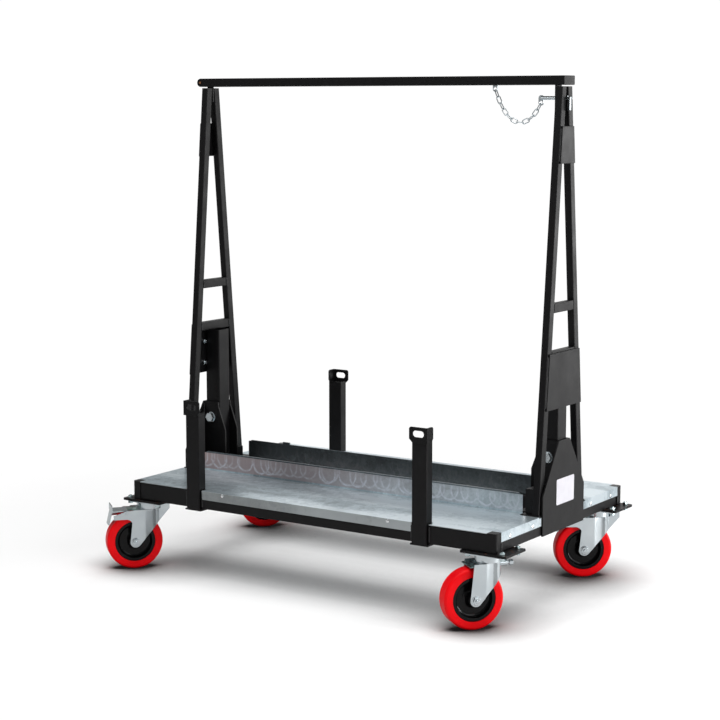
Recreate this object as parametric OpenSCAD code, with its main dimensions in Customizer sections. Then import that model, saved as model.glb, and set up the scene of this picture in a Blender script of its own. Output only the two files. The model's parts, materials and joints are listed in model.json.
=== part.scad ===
// Drywall cart: steel deck frame on four swivel castors, an A-shaped end
// frame at each end, a top bar locked by a chained drop-nose pin, and four
// lift-out edge posts.  Millimetres, origin on the floor under the middle of
// the deck, X along the length, Y to the rear, Z up.

/* [Deck frame] */
// Length over the corner posts
frame_len = 1190; // [1150:5:1300]
// Width over the corner posts
frame_wid = 716; // [690:2:800]
// Height of the frame rails
rail_h = 50; // [45:1:60]
// Thickness of the frame rails, seen from above
rail_w = 25; // [20:1:30]
// Wall of the rail tubes
rail_wall = 3; // [2:0.5:4]
// Rounded edge of the square tubes
tube_round = 3; // [2:0.5:4]
// Centre line of each centre rail from the middle
centre_rail_y = 105.5; // [104:0.5:107]

/* [Deck sheets] */
// Sheet thickness
sheet_t = 2; // [1.5:0.5:2.5]
// Depth of the flange that hangs over the rails
flange_h = 25; // [20:1:35]
// Inner edge of each deck sheet from the middle
fold_y = 110; // [109:0.5:111]
// Height of the folded inner edge above the deck
fold_h = 50; // [30:1:52]
// Gap between the folded edge and the plate under the end frame
fold_gap = 2; // [1:0.5:10]
// How much shorter the bar behind the fold is, at each end
upstand_in = 7; // [0:1:40]
// Thickness of the bar behind the fold
upstand_t = 5; // [3:0.5:6]
// Height of the bar above the deck
upstand_h = 54; // [52:1:70]

/* [Castor mounts] */
// Swivel axis inside the ends of the frame
castor_in_x = 35.5; // [33:0.5:45]
// Swivel axis inside the sides of the frame
castor_in_y = 46.4; // [44:0.2:52]
// Length of the black mount plate
mount_len = 134; // [126:1:136]
// Width of the black mount plate
mount_wid = 108; // [98:1:112]
// Thickness of the black mount plate
mount_t = 6; // [5:0.5:8]
// Bolt spacing along the length
bolt_dx = 100; // [96:1:102]
// Bolt spacing across the width
bolt_dy = 80; // [76:1:84]
// Bolt diameter
bolt_d = 8; // [8:1:10]

/* [Castors] */
// Height of a castor over its top plate
castor_h = 195; // [193:1:200]
// Wheel diameter
wheel_d = 160; // [150:2:160]
// Width of the tyre
tyre_w = 46; // [40:1:48]
// Radius of the wheel centre inside the tyre
hub_r = 58; // [52:1:60]
// Offset of the axle behind the swivel axis
trail = 44; // [42:1:50]
// Axle diameter
axle_d = 12; // [10:1:14]
// Outside half width of the fork
fork_half = 36; // [35:0.5:38]
// Radius of the rounded front of the fork
fork_round = 33.5; // [32:0.5:34]
// Thickness of the pressed fork
fork_t = 3.5; // [3:0.5:4]
// Swivel axis off the middle of the top plate, along the length
head_dx = -9; // [-10:0.5:10]
// Swivel axis off the middle of the top plate, across the width
head_dy = -9.4; // [-10:0.2:10]
// Length of the castor top plate
top_len = 115; // [112:1:120]
// Width of the castor top plate
top_wid = 95; // [92:1:98]
// Thickness of the castor top plate
top_t = 4; // [3:0.5:5]
// Height of the fork crown above the floor
crown_z = 173; // [170:1:175]
// Gap in the swivel bearing
swivel_gap = 0.5; // [0.3:0.1:0.8]
// Clearance round every turning or sliding pin
pin_gap = 0.3; // [0.3:0.05:0.5]
// Rest direction of the front left castor
swivel_fl = 229.4; // [0:0.1:360]
// Rest direction of the front right castor
swivel_fr = 231.5; // [0:0.1:360]
// Rest direction of the rear left castor
swivel_rl = 226.6; // [0:0.1:360]
// Rest direction of the rear right castor
swivel_rr = 218; // [0:0.1:360]

/* [Edge posts] */
// Centre of each post inside the swivel axis
post_in = 188.5; // [180:0.5:260]
// Width of the post along the deck edge
post_w = 45; // [40:1:50]
// Depth of the post across the deck edge
post_d = 30; // [28:1:34]
// Wall of the post tube
post_wall = 3; // [2.5:0.5:3]
// How far the post stands out past the rails
post_out = 8; // [4:1:10]
// Top of the post tube above the floor
post_top = 470; // [430:5:600]
// Clearance between post and socket
post_gap = 0.5; // [0.4:0.1:0.8]
// Height of the stub inside the post
stub_h = 130; // [80:5:140]
// Width of the slotted hand plate
grip_w = 55; // [53:1:60]
// Height of the slotted hand plate
grip_h = 41; // [38:1:50]
// Overlap of the hand plate on the post
grip_lap = 7; // [6:1:10]
// Thickness of the hand plate
grip_t = 4; // [3:0.5:5]
// Width of the hand slot
slot_w = 34; // [30:1:36]
// Height of the hand slot
slot_h = 17; // [15:1:18]

/* [End frames] */
// Step of the legs inside the end rails
leg_step = 3; // [2:0.5:5]
// Leg thickness along the length
leg_d = 20; // [18:1:20]
// Leg width across
leg_w = 25; // [22:1:25]
// Top of the legs above the floor
leg_top = 1364; // [1250:2:1500]
// Outer half spread of the legs at the top
leg_half = 28.4; // [28.4:0.1:30]
// Outward lean of each leg for each unit of height
leg_lean = 0.0883; // [0.084:0.0005:0.0885]
// Wall of the leg tube
leg_wall = 2.5; // [2:0.5:3]
// Plate thickness of the end frame plates
plate_t = 5; // [4:0.5:5]
// Underside of the upper cross rail
upper_cross_z = 780; // [760:1:900]
// Underside of the lower cross rail
lower_cross_z = 655; // [650:1:665]
// Height of the cross rails
cross_h = 25; // [20:1:30]
// Underside of the gusset plate near the top
gusset_z = 1166; // [1100:1:1180]
// Height of the gusset plate
gusset_h = 96; // [80:1:100]
// Underside of the large side plate
side_plate_z = 527; // [510:1:540]
// Height of the large side plate
side_plate_h = 148; // [130:1:150]
// Inset of these plates from the outer leg edges
plate_inset = 5; // [2:0.5:8]

/* [End brackets] */
// Half width of the end plate
end_half = 117; // [110:1:126]
// Shoulder height of the end plate
end_shoulder = 305; // [290:1:320]
// Top of the end plate
end_top = 440; // [425:1:450]
// Half width of the end plate at its top
end_top_half = 31; // [31:1:45]
// Thickness of the plate under the end frame
base_t = 4; // [3:0.5:5]
// Half width of the stub post
stub_post_half = 25; // [22:0.5:25]
// Gap between stub post and cheek
cheek_gap = 1; // [0.5:0.1:2]
// Reach of the cheek at its foot
cheek_reach = 78; // [75:1:86]
// Reach of the cheek at its top
cheek_top_reach = 52; // [50:1:60]
// Height where the cheek starts to slope
cheek_slope_z = 358; // [340:1:375]
// Straight part of the cheek edge at its top
cheek_top_h = 12; // [6:1:16]
// Height of the pivot bolt
pivot_z = 394; // [388:1:400]
// Pivot bolt diameter
pivot_d = 16; // [12:1:18]
// Depth of the foot channel along the length
foot_d = 24; // [20:1:24]
// Height of the foot channels at the pin end
foot_h = 67; // [50:1:70]
// Height of the foot channels at the other end
low_foot_h = 34; // [30:1:70]
// Inset of the foot channels at the other end
low_foot_in = 22; // [0:1:30]

/* [Top bar and pin] */
// Width of the top bar
bar_w = 60; // [50:1:70]
// Height of the top bar
bar_h = 24; // [20:1:30]
// Gap between the legs and the top bar
bar_gap = 3.5; // [2:0.5:5]
// Square end of the top bar past the legs
bar_over = 6; // [5:1:10]
// Centre of the rounded end past the legs
bar_round_over = 5; // [2:1:10]
// Wall of the top bar tube
bar_wall = 3; // [2:0.5:4]
// Height of the lock pin below the leg tops
pin_drop = 30; // [28:1:34]
// Lock pin diameter
pin_d = 10; // [8:0.5:10]
// Loose fit of the lock pin in its holes
keyhole_gap = 0.5; // [0.4:0.1:0.8]
// Width of the keyhole slot
key_slot = 8; // [7.6:0.1:8.5]
// Width of the drop nose
nose_w = 6; // [5:0.5:6]
// Length of the drop nose below the pin
nose_len = 33; // [28:1:34]
// Drop nose past the legs
nose_out = 5.5; // [5:0.5:8]
// End of the lock pin past the drop nose
pin_tip = 5; // [4.5:0.5:8]
// Chain links
link_count = 11; // [11:2:11]
// Wire of the chain
link_wire = 2.8; // [2.6:0.1:3]
// Inside length of a chain link
link_in = 18.5; // [18:0.1:19]
// Inside width of a chain link
link_gap = 8; // [7.6:0.1:8.4]
// Play between two chain links
link_play = 0.5; // [0.3:0.1:0.8]
// Play of the end links in their eyes
eye_play = 1; // [0.8:0.1:1.2]
// Lowest point of the chain inside the legs
chain_in = 137; // [125:1:150]
// Lowest point of the chain below the leg tops
chain_drop = 93; // [88:1:98]
// Shape of the hanging curve
chain_sag = 43; // [41:0.5:45]
// Length of chain left of its lowest point
chain_left = 120; // [118:0.5:122]

/* [Hidden] */
$fn = 64;

eps = 1;
end_x = frame_len / 2;
side_y = frame_wid / 2;
rail_x = end_x - sheet_t;
rail_y = side_y - sheet_t;
rail_z = castor_h + mount_t;
rail_top = rail_z + rail_h;
deck_z = rail_top + sheet_t;
base_z = rail_top + base_t;
corner_w = rail_w + sheet_t;
corner_round = 9;
corner_x = end_x - corner_w;
corner_y = side_y - corner_w;
rail_in_x = rail_x - rail_w;
rail_in_y = rail_y - rail_w;
castor_x = end_x - castor_in_x;
castor_y = side_y - castor_in_y;
post_x = castor_x - post_in;
leg_x = rail_x - leg_step;
leg_in_x = leg_x - leg_d;
foot_x = leg_in_x - foot_d;
foot_wall = 4;
base_lip = 9;
base_side = 3.7;
base_gap = 1;
base_in_x = foot_x - base_lip;
base_half = lean_out(base_z) + base_side;
fold_half = base_in_x - fold_gap;
upstand_half = fold_half - upstand_in;
upstand_round = 10;
catch_w = 25;
catch_h = 6;
catch_x = post_x + 7;
base_neck = centre_rail_y - rail_w / 2 - 1;

mount_z = castor_h;
mount_round = 5;
top_z = mount_z - top_t;
bolt_head = bolt_d * 0.66;
bolt_nut = bolt_d * 0.8;
bolt_hex = bolt_d * 0.94;
bolt_play = 0.2;
head_r = fork_round + 1;
head_z = crown_z + swivel_gap;
axle_z = wheel_d / 2;
fork_in = fork_half - fork_t;
crown_t = 4;
crown_len = 36;
king_r = 6;
king_nut_r = 11;
king_nut_h = 8;
round_in = fork_round - fork_t;
fork_bend = 15;
fork_flat = 20;
wing_u = 56.5;
wing_half = 22;
lead_u = -wing_u;
lead_v = crown_z - 2;
fork_tip_r = 15.5;
tail_u = trail + fork_tip_r;
tail_lean = 10;
tail_top_u = tail_u - tail_lean;
arm_u = 106;
arm_fillet = 18;
arm_low = 147;
arm_high = 158;
arm_root = crown_z - 2;
arm_bend_u = 69;
wing_in = 30;
wing_top = crown_z + 11;
tip_dist = sqrt(pow(trail - lead_u, 2) + pow(lead_v - axle_z, 2));
tip_turn = atan2(axle_z - lead_v, trail - lead_u) - asin(fork_tip_r / tip_dist);
tip_run = sqrt(pow(tip_dist, 2) - pow(fork_tip_r, 2));
pedal_u = 68;
pedal_v = 164;
pedal_rod = 4;
pedal_boss = 5.5;
pedal_t = 3;
pedal_half = 27;
pedal_end = 111;
pedal_plate_v = pedal_v + pedal_rod;
pedal_top = 186;
pedal_low = 130;
pedal_tab_u = 107;
pedal_tab_out = 9;
pedal_tab_half = 18;
lock_v = crown_z - 9;
lock_r = 4;
lock_boss_r = 8;
lock_boss_u = fork_round + 18;
lock_in = fork_round - fork_t + 1.5;
lock_knob_u = lock_boss_u + 6;
lock_out = lock_knob_u + 12;
tyre_round = 7;
hub_rim = 9;
hub_seat = 0.2;
hub_boss_r = 18;
hub_side = fork_in - 0.6;
web_half = 7;
hub_fillet = 9;
rim_half = tyre_w / 2 - 1;
axle_head = 7;
axle_hex = 10.5;

post_bottom = rail_z - sheet_t;
post_outer = rail_y + post_out;
post_yc = post_outer - post_d / 2;
post_inner = post_outer - post_d;
socket_t = 4;
socket_half = post_w / 2 + post_gap + socket_t;
grip_z = post_top - grip_lap;
grip_side = 30;
grip_cut = 10;
grip_round = 6;
grip_slot_z = grip_z + 15;

leg_turn = atan(leg_lean);
leg_across = leg_w / cos(leg_turn);
cap_t = 3;
leg_over = 60;
plate_x = leg_x + plate_t;
end_plate_t = plate_t;
end_low = rail_z - sheet_t;
cheek_in = stub_post_half + cheek_gap;
cheek_out = cheek_in + plate_t;
stub_post_x = leg_x - stub_post_half;
stub_low = base_z + 4;
washer_t = 3;
pivot_hex = pivot_d * 0.87;
pivot_head = pivot_d * 0.62;
pivot_nut = pivot_d * 0.8;
pivot_play = 0.2;

bar_z = leg_top + bar_gap;
bar_mid = bar_z + bar_h / 2;
bar_right = leg_x + bar_over;
bar_left = leg_x + bar_round_over;
rivet_r = 3.5;
rivet_stand = 0.8;
hanger_t = 4;
hanger_gap = 0.5;
hanger_half = 16;
hanger_len = 64;
hanger_low = leg_top - hanger_len;
lug_half = 3;
lug_len = 40;
lug_low = leg_top - lug_len;
apex_t = 4;
apex_half = 24;
apex_step = 6;
apex_len = 68;
apex_top = leg_top - apex_step;
apex_low = apex_top - apex_len;
hanger_x = leg_in_x - apex_t - hanger_gap;
pin_z = leg_top - pin_drop;
key_r = pin_d / 2 + keyhole_gap;
key_low = pin_z - nose_len - 4;
nose_x = leg_x + nose_out;
nose_d = 7;
nose_rivet = 1.5;
nose_slot = nose_w / 2 + pin_gap;
tip_x = nose_x + pin_tip;
eye_t = 3.6;
eye_r = 7.5;
eye_hole = 4.8;

link_r = link_gap / 2 + link_wire / 2;
link_straight = link_in / 2 - link_gap / 2;
link_pitch = link_in - link_play;
link_end = link_in / 2 + link_wire / 2;
chain_z = leg_top - chain_drop;
chain_first = link_end - chain_left;
chain_last = chain_first + (link_count - 1) * link_pitch + link_end;
hole_rest = eye_hole - link_wire / 2 - eye_play;
chain_x = leg_x - chain_in;

function lean_out(z) = leg_half + leg_lean * (leg_top - z);
function lean_in(z) = lean_out(z) - leg_across;
function arc_sinh(v) = ln(v + sqrt(v * v + 1));
function hang_x(s) = chain_x + chain_sag * arc_sinh(s / chain_sag);
function hang_z(s) = chain_z + sqrt(chain_sag * chain_sag + s * s) - chain_sag;
function hang_turn(s) = atan(s / chain_sag);

hook_x = hang_x(-chain_left) + hole_rest * cos(hang_turn(-chain_left) + 180);
hook_z = hang_z(-chain_left) + hole_rest * sin(hang_turn(-chain_left) + 180);
eye_x = hang_x(chain_last) + hole_rest * cos(hang_turn(chain_last));
eye_z = hang_z(chain_last) + hole_rest * sin(hang_turn(chain_last));

black = [0.06, 0.06, 0.065];
dark_steel = [0.30, 0.31, 0.32];
zinc = [0.72, 0.73, 0.74];
galvanised = [0.70, 0.72, 0.73];
red = [0.75, 0.03, 0.03];

// Block between two corners
module block(a, b) {
  translate(a) cube([b[0] - a[0], b[1] - a[1], b[2] - a[2]]);
}

// Upright block with four rounded edges, centred, standing on zero
module round_block(x, y, z, r) {
  translate([-x / 2 + r, -y / 2, 0]) cube([x - 2 * r, y, z]);
  translate([-x / 2, -y / 2 + r, 0]) cube([x, y - 2 * r, z]);
  for (i = [-1, 1], j = [-1, 1]) translate([i * (x / 2 - r), j * (y / 2 - r), 0]) cylinder(r = r, h = z);
}

// Upright block with one rounded edge, at its far corner
module corner_block(x0, y0, x1, y1, z0, z1, r) {
  block([x0, y0, z0], [x1 - r, y1, z1]);
  block([x0, y0, z0], [x1, y1 - r, z1]);
  translate([x1 - r, y1 - r, z0]) cylinder(r = r, h = z1 - z0);
}

// Upright square tube open at both ends
module tube(x, y, z, wall, r) {
  difference() {
    round_block(x, y, z, r);
    translate([-x / 2 + wall, -y / 2 + wall, -eps]) cube([x - 2 * wall, y - 2 * wall, z + 2 * eps]);
  }
}

// Rail along the length between two ends, given its middle across
module rail_along(x0, x1, yc) {
  translate([x0, yc, rail_z + rail_h / 2]) rotate([0, 90, 0])
    tube(rail_h, rail_w, x1 - x0, rail_wall, tube_round);
}

module both_ends() {
  children();
  mirror([1, 0, 0]) children();
}

module both_sides() {
  children();
  mirror([0, 1, 0]) children();
}

module four_corners() {
  both_ends() both_sides() children();
}

// Plate in the upright plane across the cart, from its outline and inner face
module cross_plate(x, t, outline) {
  translate([x, 0, 0]) rotate([90, 0, 90]) linear_extrude(height = t) polygon(outline);
}

// Plate in the upright plane along the cart, from its outline and lower side
module long_plate(y, t, outline) {
  translate([0, y + t, 0]) rotate([90, 0, 0]) linear_extrude(height = t) polygon(outline);
}

module edge_rail() {
  yc = rail_y - rail_w / 2;
  rail_along(-(post_x - socket_half), post_x - socket_half, yc);
  both_ends() rail_along(post_x + socket_half, corner_x, yc);
}

module front_rail() {
  color(black) mirror([0, 1, 0]) edge_rail();
}

module rear_rail() {
  color(black) edge_rail();
}

module end_rails() {
  color(black) both_ends() translate([rail_x - rail_w / 2, -corner_y, rail_z + rail_h / 2])
    rotate([-90, 0, 0]) tube(rail_w, rail_h, 2 * corner_y, rail_wall, tube_round);
}

module centre_rails() {
  color(black) both_sides() rail_along(-rail_in_x, rail_in_x, centre_rail_y);
}

module corner_posts() {
  color(black) four_corners() difference() {
    corner_block(corner_x, corner_y, end_x, side_y, rail_z, deck_z, corner_round);
    corner_block(corner_x + rail_wall, corner_y + rail_wall, end_x - rail_wall, side_y - rail_wall,
      rail_z - eps, deck_z - rail_wall, corner_round - rail_wall);
  }
}

// One sheet with its folded inner edge, edge flange and end flanges
module deck_sheet() {
  difference() {
    union() {
      block([-end_x, fold_y, rail_top], [end_x, side_y, deck_z]);
      block([-fold_half, fold_y, rail_top], [fold_half, fold_y + sheet_t, deck_z + fold_h]);
      block([-(post_x - socket_half), rail_y, deck_z - flange_h], [post_x - socket_half, side_y, deck_z]);
      both_ends() block([rail_x, end_half + 2, deck_z - flange_h], [end_x, corner_y, deck_z]);
    }
    both_ends() {
      block([corner_x, corner_y, rail_top - eps], [end_x + eps, side_y + eps, deck_z + eps]);
      block([post_x - socket_half, post_inner - 2 * post_gap, rail_top - eps],
        [post_x + socket_half, side_y + eps, deck_z + eps]);
      block([base_in_x - base_gap, fold_y - eps, rail_top - eps],
        [end_x + eps, base_half + base_gap, deck_z + eps]);
      block([rail_x, fold_y - eps, rail_top - eps], [end_x + eps, end_half + 2, deck_z + eps]);
    }
  }
}

module front_deck() {
  color(galvanised) mirror([0, 1, 0]) deck_sheet();
}

module rear_deck() {
  color(galvanised) deck_sheet();
}

// Bar behind the folded edge, with a rounded corner at each end
module upstand() {
  r = upstand_round;
  top = deck_z + upstand_h;
  difference() {
    block([-upstand_half, fold_y - upstand_t, rail_top], [upstand_half, fold_y, top]);
    both_ends() difference() {
      block([upstand_half - r, fold_y - upstand_t - eps, top - r],
        [upstand_half + eps, fold_y + eps, top + eps]);
      translate([upstand_half - r, fold_y + 2 * eps, top - r]) rotate([90, 0, 0])
        cylinder(r = r, h = upstand_t + 4 * eps);
    }
  }
}

module front_upstand() {
  color(dark_steel) mirror([0, 1, 0]) upstand();
}

// The rear bar has a small catch standing on its top edge
module rear_upstand() {
  color(dark_steel) {
    upstand();
    block([-catch_x - catch_w, fold_y - upstand_t, deck_z + upstand_h - eps],
      [-catch_x, fold_y, deck_z + upstand_h + catch_h]);
  }
}

// Four places of the castor bolts round one swivel axis
module bolt_places() {
  for (i = [-1, 1], j = [-1, 1]) translate([i * bolt_dx / 2, j * bolt_dy / 2, 0]) children();
}

module mount_plates() {
  color(black) four_corners() translate([castor_x, castor_y, mount_z]) difference() {
    round_block(mount_len, mount_wid, mount_t, mount_round);
    bolt_places() translate([0, 0, -eps]) cylinder(r = bolt_d / 2 + bolt_play, h = mount_t + 2 * eps);
  }
}

// Bolts with heads below, nuts above where no rail stands on the plate
module castor_bolts() {
  color(zinc) four_corners() translate([castor_x, castor_y, 0]) for (i = [-1, 1], j = [-1, 1])
    translate([i * bolt_dx / 2, j * bolt_dy / 2, 0]) {
      translate([0, 0, top_z - bolt_head]) cylinder(r = bolt_hex, h = bolt_head, $fn = 6);
      translate([0, 0, top_z - eps]) cylinder(d = bolt_d, h = rail_z - top_z + eps);
      if (i > 0 || j < 0) {
        translate([0, 0, rail_z]) cylinder(r = bolt_hex, h = bolt_nut, $fn = 6);
        translate([0, 0, rail_z - eps]) cylinder(d = bolt_d, h = bolt_nut + 2 * eps + 1);
      }
    }
}

// Four top plates, each with its bearing head and king pin set off its middle
module castor_top_plates() {
  king_low = crown_z - crown_t - swivel_gap - king_nut_h;
  color(zinc) for (sx = [-1, 1], sy = [-1, 1]) {
    translate([sx * castor_x, sy * castor_y, top_z]) difference() {
      round_block(top_len, top_wid, top_t, 6);
      bolt_places() translate([0, 0, -eps]) cylinder(r = bolt_d / 2 + bolt_play, h = top_t + 2 * eps);
    }
    castor(sx, sy, 0) {
      translate([0, 0, head_z]) cylinder(r = head_r, h = top_z - head_z + eps);
      translate([0, 0, king_low - 3]) cylinder(r = king_r, h = head_z - king_low + 3 + eps);
      translate([0, 0, king_low]) cylinder(r = king_nut_r, h = king_nut_h, $fn = 6);
    }
  }
}

// Floor plate, side plates, back plate and the stub inside the post
module post_sockets() {
  color(black) four_corners() translate([post_x, 0, 0]) {
    in_w = post_w / 2 + post_gap;
    stub_w = post_w / 2 - post_wall - post_gap;
    stub_d = post_d / 2 - post_wall - post_gap;
    block([-socket_half, rail_in_y, post_bottom - socket_t], [socket_half, post_outer, post_bottom]);
    for (m = [0, 1]) mirror([m, 0, 0])
      block([in_w, rail_in_y, post_bottom - socket_t], [socket_half, rail_y, rail_top]);
    block([-socket_half, rail_in_y - 2, post_bottom - socket_t],
      [socket_half, post_inner - post_gap, rail_top]);
    translate([0, post_yc, post_bottom - eps]) round_block(2 * stub_w, 2 * stub_d, stub_h + eps, 2);
  }
}

module base_plates() {
  color(black) both_ends() {
    block([base_in_x, -base_half, rail_top], [rail_x, base_half, base_z]);
    block([rail_x - cheek_reach - 4, -base_neck, rail_top], [base_in_x + eps, base_neck, base_z]);
  }
}

module end_plates() {
  color(black) both_ends() cross_plate(rail_x, end_plate_t,
    [[-end_half, end_low], [end_half, end_low], [end_half, end_shoulder], [end_top_half, end_top],
     [-end_top_half, end_top], [-end_half, end_shoulder]]);
}

module cheeks() {
  color(black) both_ends() both_sides() difference() {
    long_plate(cheek_in, plate_t, [[rail_x - cheek_reach, base_z], [rail_x, base_z], [rail_x, end_top],
      [rail_x - cheek_top_reach, end_top], [rail_x - cheek_top_reach, end_top - cheek_top_h],
      [rail_x - cheek_reach, cheek_slope_z]]);
    translate([stub_post_x, cheek_in - eps, pivot_z]) rotate([-90, 0, 0])
      cylinder(r = pivot_d / 2 + pivot_play, h = plate_t + 2 * eps);
  }
}

// Foot box between cheek and leg, closed at its outer end
module foot_channel(h, far) {
  difference() {
    translate([foot_x + foot_d / 2, cheek_out, base_z + h / 2]) rotate([-90, 0, 0])
      round_block(foot_d, h, far - cheek_out, tube_round);
    block([foot_x + foot_wall, cheek_out - eps, base_z + foot_wall],
      [leg_in_x - foot_wall, far - foot_wall, base_z + h - foot_wall]);
  }
}

module foot_channels() {
  color(black) both_sides() {
    foot_channel(foot_h, end_half);
    mirror([1, 0, 0]) foot_channel(low_foot_h, end_half - low_foot_in);
  }
}

module stub_posts() {
  color(black) both_ends() difference() {
    translate([stub_post_x, 0, stub_low])
      tube(2 * stub_post_half, 2 * stub_post_half, lower_cross_z - stub_low, 4, 4);
    translate([stub_post_x, -stub_post_half - eps, pivot_z]) rotate([-90, 0, 0])
      cylinder(r = pivot_d / 2 + pivot_play, h = 2 * stub_post_half + 2 * eps);
  }
}

module pivot_bolts() {
  color(zinc) both_ends() translate([stub_post_x, 0, pivot_z]) rotate([90, 0, 0]) {
    full = cheek_out + washer_t;
    translate([0, 0, -full - pivot_nut - 4]) cylinder(d = pivot_d, h = 2 * full + pivot_nut + 4);
    translate([0, 0, cheek_out]) cylinder(r = pivot_d * 0.94, h = washer_t);
    translate([0, 0, -full]) cylinder(r = pivot_d * 0.94, h = washer_t);
    translate([0, 0, full]) cylinder(r = pivot_hex, h = pivot_head, $fn = 6);
    translate([0, 0, -full - pivot_nut]) cylinder(r = pivot_hex, h = pivot_nut, $fn = 6);
  }
}

// One leaning tube, closed at the top, cut level at the foot
module leg() {
  reach = leg_top - base_z + leg_over;
  difference() {
    intersection() {
      translate([leg_x - leg_d / 2, leg_half, leg_top]) rotate([leg_turn, 0, 0])
        translate([0, -leg_w / 2, -reach]) round_block(leg_d, leg_w, reach + leg_over, tube_round);
      block([leg_in_x - eps, -eps, base_z], [leg_x + eps, side_y, leg_top]);
    }
    intersection() {
      translate([leg_x - leg_d / 2, leg_half, leg_top]) rotate([leg_turn, 0, 0])
        translate([-leg_d / 2 + leg_wall, -leg_w + leg_wall, -reach])
          cube([leg_d - 2 * leg_wall, leg_w - 2 * leg_wall, reach + leg_over]);
      block([leg_in_x - eps, -eps, base_z - eps], [leg_x + eps, side_y, leg_top - cap_t]);
    }
  }
}

module right_legs() {
  color(black) both_sides() leg();
}

module left_legs() {
  color(black) mirror([1, 0, 0]) both_sides() leg();
}

// Rail between the two legs of an end frame
module cross_rail(z) {
  top = z + cross_h;
  seat = 0.05;
  cross_plate(leg_in_x, leg_d, [[-lean_in(z) + seat, z], [lean_in(z) - seat, z], [lean_in(top) - seat, top],
    [-lean_in(top) + seat, top]]);
}

module cross_rails() {
  color(black) both_ends() {
    cross_rail(lower_cross_z);
    cross_rail(upper_cross_z);
  }
}

// Plate on the outer leg faces, its edges parallel to the legs
module leg_plate(z, h) {
  low = lean_out(z) - plate_inset;
  high = lean_out(z + h) - plate_inset;
  cross_plate(leg_x, plate_t, [[-low, z], [low, z], [high, z + h], [-high, z + h]]);
}

module gusset_plates() {
  color(black) both_ends() leg_plate(gusset_z, gusset_h);
}

module side_plates() {
  color(black) both_ends() leg_plate(side_plate_z, side_plate_h);
}

// Flat tube with a rounded left end
module top_bar() {
  color(black) difference() {
    union() {
      block([-bar_left, -bar_w / 2, bar_z], [bar_right, bar_w / 2, bar_z + bar_h]);
      translate([-bar_left, bar_w / 2, bar_mid]) rotate([90, 0, 0]) cylinder(d = bar_h, h = bar_w);
    }
    block([-bar_left + bar_h / 2, -bar_w / 2 + bar_wall, bar_z + bar_wall],
      [bar_right - bar_wall, bar_w / 2 - bar_wall, bar_z + bar_h - bar_wall]);
    translate([-bar_left, bar_w / 2 + eps, bar_mid]) rotate([90, 0, 0])
      cylinder(r = rivet_r + bolt_play, h = bar_w + 2 * eps);
  }
}

// Round eye on the plane of the chain, with its neck up to a given height
module chain_eye(x, z, top) {
  difference() {
    union() {
      translate([x, eye_t / 2, z]) rotate([90, 0, 0]) cylinder(r = eye_r, h = eye_t);
      block([x - eye_r, -eye_t / 2, z], [x + eye_r, eye_t / 2, top]);
    }
    translate([x, eye_t, z]) rotate([90, 0, 0]) cylinder(r = eye_hole, h = 2 * eye_t);
  }
}

// Eye under the top bar that holds the chain
module chain_tab() {
  color(zinc) chain_eye(hook_x, hook_z, bar_z);
}

module bar_rivet() {
  color([0.45, 0.26, 0.16]) translate([-bar_left, bar_w / 2 + rivet_stand, bar_mid]) rotate([90, 0, 0])
    cylinder(r = rivet_r, h = bar_w + 2 * rivet_stand);
}

// Round hole with a slot running down from it, along the length
module keyhole(x0, x1, low) {
  translate([x0, 0, pin_z]) rotate([0, 90, 0]) cylinder(r = key_r, h = x1 - x0);
  block([x0, -key_slot / 2, low], [x1, key_slot / 2, pin_z]);
}

// Lug between the left legs and slotted tongue inside the right legs
module bar_hangers() {
  color(black) {
    block([-leg_x, -lug_half, lug_low], [-leg_in_x, lug_half, bar_z]);
    difference() {
      block([hanger_x - hanger_t, -hanger_half, hanger_low], [hanger_x, hanger_half, bar_z]);
      keyhole(hanger_x - hanger_t - eps, hanger_x + eps, hanger_low - eps);
    }
  }
}

module apex_plate() {
  color(black) difference() {
    block([leg_in_x - apex_t, -apex_half, apex_low], [leg_in_x, apex_half, apex_top]);
    keyhole(leg_in_x - apex_t - eps, leg_in_x + eps, key_low);
  }
}

// One oval link along X, lying in the XZ plane
module chain_link() {
  for (m = [0, 1]) mirror([m, 0, 0]) {
    translate([link_straight, 0, 0]) rotate([90, 0, 0]) rotate([0, 0, -90])
      rotate_extrude(angle = 180, $fn = 32) translate([link_r, 0]) circle(d = link_wire, $fn = 16);
  }
  for (m = [0, 1]) mirror([0, 0, m]) translate([-link_straight, 0, link_r]) rotate([0, 90, 0])
    cylinder(d = link_wire, h = 2 * link_straight, $fn = 16);
}

// Links hung along the curve, every second one turned a quarter
module chain() {
  color(zinc) for (i = [0 : link_count - 1]) {
    s = chain_first + i * link_pitch;
    translate([hang_x(s), 0, hang_z(s)]) rotate([0, -hang_turn(s), 0]) rotate([i % 2 == 0 ? 90 : 0, 0, 0])
      chain_link();
  }
}

// Pin with a slotted tip, its cross rivet and an eye for the chain
module lock_pin() {
  color(zinc) {
    difference() {
      union() {
        translate([eye_x, 0, pin_z]) rotate([0, 90, 0]) cylinder(d = pin_d, h = tip_x - eye_x);
        translate([eye_x, eye_t / 2, pin_z]) rotate([90, 0, 0]) cylinder(r = eye_r, h = eye_t);
        chain_eye(eye_x, eye_z, pin_z);
      }
      block([nose_x - nose_d / 2 - 2 * pin_gap, -nose_slot, pin_z - pin_d],
        [tip_x + eps, nose_slot, pin_z + pin_d]);
    }
    translate([nose_x, pin_d / 2 - 1, pin_z]) rotate([90, 0, 0]) cylinder(r = nose_rivet, h = pin_d - 2);
  }
}

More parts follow.
